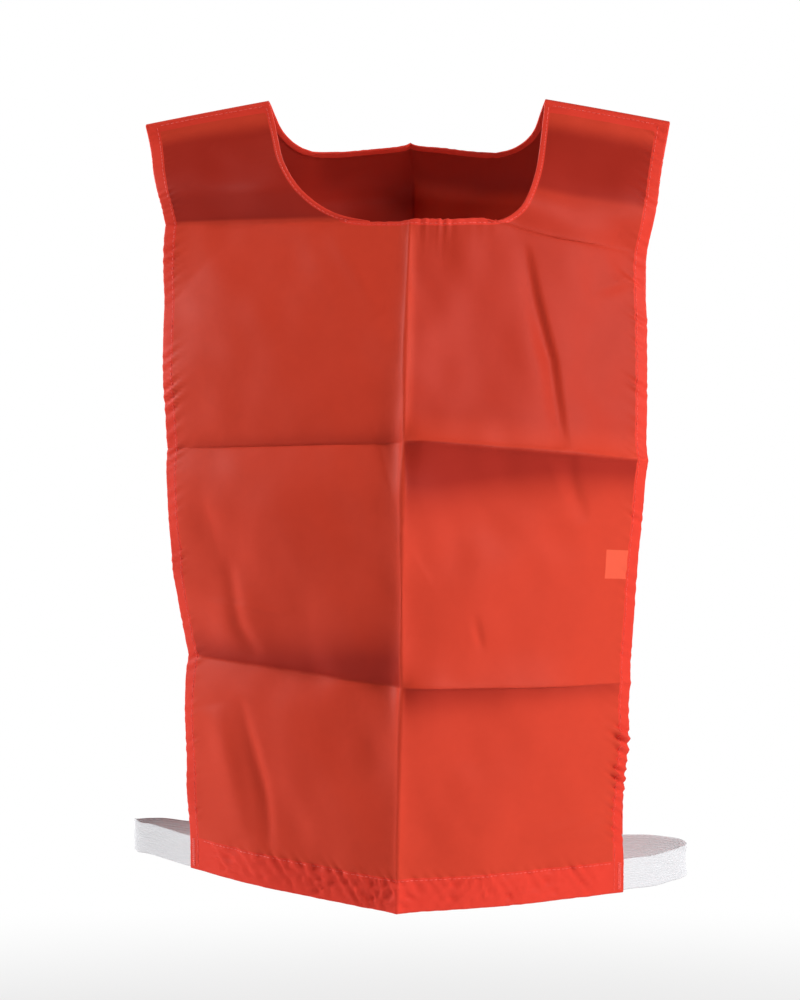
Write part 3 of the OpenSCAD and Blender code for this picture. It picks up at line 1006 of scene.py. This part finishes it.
def principled(nodes, colour, roughness, sheen=0.0, specular=0.5):
    shader = nodes.add("ShaderNodeBsdfPrincipled")
    nodes.put(shader.inputs["Base Color"], colour)
    nodes.put(shader.inputs["Roughness"], roughness)
    shader.inputs["Sheen Weight"].default_value = sheen
    shader.inputs["Sheen Roughness"].default_value = 0.4
    shader.inputs["Specular IOR Level"].default_value = specular
    return shader


def cloth_material(name, label_at=None):
    """Thin plain-woven cloth with a soft shine. Hems are two layers, so deeper in colour, and
    the label shows through as a paler patch. Painted shade darkens it over the shoulders, the
    upper chest and beside creases."""
    nodes = Nodes(name)
    uv = nodes.add("ShaderNodeUVMap", uv_map="UVMap").outputs[0]
    hem = nodes.add("ShaderNodeAttribute", attribute_name="hem").outputs["Fac"]
    doubled = nodes.maths("GREATER_THAN", hem, 0.0)
    single = (0.62, 0.051, 0.024, 1)
    single_lighter = (0.68, 0.061, 0.028, 1)
    fleck = (0.40, 0.024, 0.012, 1)
    # The dark red of the painted shade
    shaded = (0.28, 0.011, 0.007, 1)
    double = (0.73, 0.049, 0.028, 1)
    over_label = (0.95, 0.15, 0.08, 1)
    cloudy = nodes.noise(uv, 14, 2)
    colour = nodes.blend(nodes.maths("MULTIPLY", cloudy, 0.5), single, single_lighter)
    colour = nodes.blend(nodes.maths("MULTIPLY", nodes.noise(uv, 150, 4), 0.16), colour, fleck)
    # Painted shade: darkens the colour towards deep red over the shoulders, upper chest and beside
    # creases
    close = nodes.add("ShaderNodeAttribute", attribute_name="painted_shade").outputs["Fac"]
    colour = nodes.blend(nodes.maths("MULTIPLY", close, 0.72), colour, shaded)
    if label_at:
        apart = nodes.add("ShaderNodeSeparateXYZ")
        nodes.link(uv, apart.inputs[0])
        inside = 1.0
        for axis, (low, high) in enumerate(label_at):
            above = nodes.maths("GREATER_THAN", apart.outputs[axis], low)
            below = nodes.maths("LESS_THAN", apart.outputs[axis], high)
            inside = nodes.maths("MULTIPLY", nodes.maths("MULTIPLY", above, below), inside)
        colour = nodes.blend(nodes.maths("MULTIPLY", inside, 0.55), colour, over_label)
    colour = nodes.blend(doubled, colour, double)
    warp = nodes.wave(uv, "X", 0.45 * MM)
    weft = nodes.wave(uv, "Y", 0.38 * MM)
    weave = nodes.maths("ADD", warp, weft)
    slub = nodes.noise(uv, 420, 2)
    surface = nodes.maths("ADD", nodes.maths("MULTIPLY", weave, 0.4), slub)
    roughness = nodes.maths("ADD", nodes.maths("MULTIPLY", cloudy, 0.12), 0.46)
    shader = principled(nodes, colour, roughness, sheen=0.03, specular=0.09)
    shader.inputs["Sheen Tint"].default_value = (1, 0.45, 0.3, 1)
    nodes.bump(surface, 0.25, 0.06 * MM, shader)
    through = nodes.add("ShaderNodeBsdfTranslucent")
    nodes.link(colour, through.inputs["Color"])
    mixed = nodes.add("ShaderNodeMixShader")
    mixed.inputs[0].default_value = 0.14
    nodes.link(shader.outputs[0], mixed.inputs[1])
    nodes.link(through.outputs[0], mixed.inputs[2])
    return finish_material(nodes, mixed.outputs[0])


def thread_material():
    nodes = Nodes("sewing_thread")
    coords = nodes.add("ShaderNodeTexCoord").outputs["Object"]
    twist = nodes.noise(coords, 2600, 1)
    colour = nodes.blend(twist, (0.70, 0.045, 0.03, 1), (0.86, 0.085, 0.055, 1))
    return finish_material(nodes, principled(nodes, colour, 0.5, sheen=0.3).outputs[0])


def elastic_material():
    nodes = Nodes("ribbed_elastic")
    uv = nodes.add("ShaderNodeUVMap", uv_map="UVMap").outputs[0]
    knit = nodes.wave(uv, "Y", 0.9 * MM)
    fuzz = nodes.noise(uv, 900, 2)
    colour = nodes.blend(knit, (0.60, 0.60, 0.62, 1), (0.69, 0.69, 0.71, 1))
    surface = nodes.maths("ADD", knit, nodes.maths("MULTIPLY", fuzz, 0.6))
    shader = principled(nodes, colour, 0.75, sheen=0.08, specular=0.2)
    nodes.bump(surface, 0.5, 0.12 * MM, shader)
    return finish_material(nodes, shader.outputs[0])


def label_material():
    nodes = Nodes("label_satin")
    uv = nodes.add("ShaderNodeUVMap", uv_map="UVMap").outputs[0]
    weave = nodes.wave(uv, "Y", 0.4 * MM)
    colour = nodes.blend(weave, (0.80, 0.78, 0.76, 1), (0.88, 0.87, 0.85, 1))
    return finish_material(nodes, principled(nodes, colour, 0.45, sheen=0.1).outputs[0])


# ---------------------------------------------------------------- the set


def soft_box(name, centre, azimuth, elevation, strength):
    """A soft box 2.2 m from the bib. Azimuth is in degrees from straight ahead of the wearer
    towards their left. Strength is the light that a surface facing it gets."""
    distance = 2.2
    turn, tilt = math.radians(azimuth), math.radians(elevation)
    ahead = math.cos(tilt) * distance
    up = math.sin(tilt) * distance
    place = centre + Vector((math.sin(turn) * ahead, -math.cos(turn) * ahead, up))
    light = bpy.data.lights.new(name, "AREA")
    light.shape = "RECTANGLE"
    light.size, light.size_y = 0.8, 1.0
    light.energy = strength * (math.pi * distance) ** 2
    made = bpy.data.objects.new(name, light)
    made.location = place
    made.rotation_euler = (centre - place).to_track_quat("-Z", "Y").to_euler()
    bpy.context.scene.collection.objects.link(made)
    made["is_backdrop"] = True


def white_room(strength):
    """A world that lights evenly and shows plain white behind the bib."""
    world = bpy.data.worlds.new("studio")
    world.use_nodes = True
    tree = world.node_tree
    tree.nodes.clear()
    lighting = tree.nodes.new("ShaderNodeBackground")
    lighting.inputs["Strength"].default_value = strength
    backdrop = tree.nodes.new("ShaderNodeBackground")
    path = tree.nodes.new("ShaderNodeLightPath")
    mixed = tree.nodes.new("ShaderNodeMixShader")
    output = tree.nodes.new("ShaderNodeOutputWorld")
    for shader in (lighting, backdrop):
        shader.inputs["Color"].default_value = (1, 1, 1, 1)
    tree.links.new(path.outputs["Is Camera Ray"], mixed.inputs[0])
    tree.links.new(lighting.outputs[0], mixed.inputs[1])
    tree.links.new(backdrop.outputs[0], mixed.inputs[2])
    tree.links.new(mixed.outputs[0], output.inputs[0])
    bpy.context.scene.world = world


def floor(height, size):
    """A pale grey floor that fades into the white room away from the bib. The camera sees
    mostly its glow, and everything else sees plain paint."""
    corners = [(-size, -size), (size, -size), (size, size), (-size, size)]
    made = make_object("floor", [(x, y, height) for x, y in corners], [(0, 1, 2, 3)])
    nodes = Nodes("floor_paint")
    paint = principled(nodes, (0.86, 0.86, 0.86, 1), 0.8)
    glow = nodes.add("ShaderNodeEmission")
    coords = nodes.add("ShaderNodeTexCoord").outputs["Object"]
    distance = nodes.add("ShaderNodeVectorMath", operation="LENGTH")
    nodes.link(coords, distance.inputs[0])
    far = nodes.add("ShaderNodeMapRange", interpolation_type="SMOOTHSTEP")
    nodes.link(distance.outputs["Value"], far.inputs["Value"])
    for name, value in (("From Min", 0.3), ("From Max", 1.2), ("To Min", 0.62), ("To Max", 1.0)):
        far.inputs[name].default_value = value
    nodes.link(far.outputs[0], glow.inputs["Strength"])
    seen = nodes.add("ShaderNodeLightPath").outputs["Is Camera Ray"]
    mixed = nodes.add("ShaderNodeMixShader")
    share = nodes.maths("ADD", nodes.maths("MULTIPLY", far.outputs[0], 0.66), 0.34)
    nodes.link(nodes.maths("MULTIPLY", seen, share), mixed.inputs[0])
    nodes.link(paint.outputs[0], mixed.inputs[1])
    nodes.link(glow.outputs[0], mixed.inputs[2])
    made.data.materials.append(finish_material(nodes, mixed.outputs[0]))
    made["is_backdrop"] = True


def studio(low, high):
    bpy.context.scene.view_settings.view_transform = "Standard"
    centre = (low + high) / 2
    radius = (high - low).length / 2
    white_room(0.10)
    soft_box("key", centre, 57, 24, 1.05)
    soft_box("fill", centre, -93, 22, 1.05)
    soft_box("rear_left", centre, 150, 20, 0.40)
    soft_box("rear_right", centre, -140, 20, 0.38)
    floor(low.z - radius * 0.35, radius * 14)


def camera():
    """Level and nearly straight on, from a little to the wearer's left."""
    distance = 2.3
    picture_width = 0.655
    turn = math.radians(3)
    target = Vector((-0.0045, 0, -0.262))
    data = bpy.data.cameras.new("camera")
    data.sensor_width = 36
    data.lens = data.sensor_width * distance / picture_width
    made = bpy.data.objects.new("camera", data)
    made.location = target + Vector((math.sin(turn), -math.cos(turn), 0)) * distance
    made.rotation_euler = (target - made.location).to_track_quat("-Z", "Y").to_euler()
    bpy.context.scene.collection.objects.link(made)
    bpy.context.scene.camera = made


# ---------------------------------------------------------------- building the bib


def place(made, material, slot, *nodes):
    made.data.materials.append(material)
    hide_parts(*nodes)


def bend(made):
    """Bakes the object's placement into its mesh."""
    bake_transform(made)


def build():
    front, back = front_and_back()
    front_cloth = build_panel(front, FRONT_FOLDS, 11)
    back_cloth = build_panel(back, BACK_FOLDS, 57)
    label, (label_q, label_t) = care_label(front, "care_label")
    u, v = front.flat(label_q, label_t)
    label_at = ((u.min(), u.max()), (v.min(), v.max()))
    place(front_cloth, cloth_material("front_cloth", label_at), "cloth", "front_panel")
    place(back_cloth, cloth_material("back_cloth"), "cloth", "back_panel")
    place(label, label_material(), "label", "care_label")
    sewn = []
    for panel, name in ((front, "front"), (back, "back")):
        for hand, word in WORDS.items():
            side = "%s_%s" % (name, word)
            stitches = side_seam(panel, hand, side + "_side_stitches")
            tack = bartack(panel, hand, side + "_bartack")
            sewn += [(stitches, side + "_side_stitching"), (tack, side + "_bartack")]
        sewn.append((bottom_seam(panel, name + "_bottom_stitches"), name + "_bottom_stitching"))
        sewn.append((neck_seam(panel, name + "_neck_stitches"), name + "_neck_stitching"))
    for hand, word in WORDS.items():
        stitches = shoulder_seam(front, hand, word + "_shoulder_stitches")
        sewn.append((stitches, word + "_shoulder_stitching"))
    thread = thread_material()
    for stitches, node in sewn:
        place(stitches, thread, "thread", node)
    elastic = elastic_material()
    for hand, word in WORDS.items():
        band = strap(front, back, hand, word + "_strap")
        place(band, elastic, "elastic", word + "_strap")
        bend(band)
    for piece in [front_cloth, back_cloth, label] + [stitches for stitches, _ in sewn]:
        bend(piece)


build()
low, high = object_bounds()
studio(low, high)
camera()
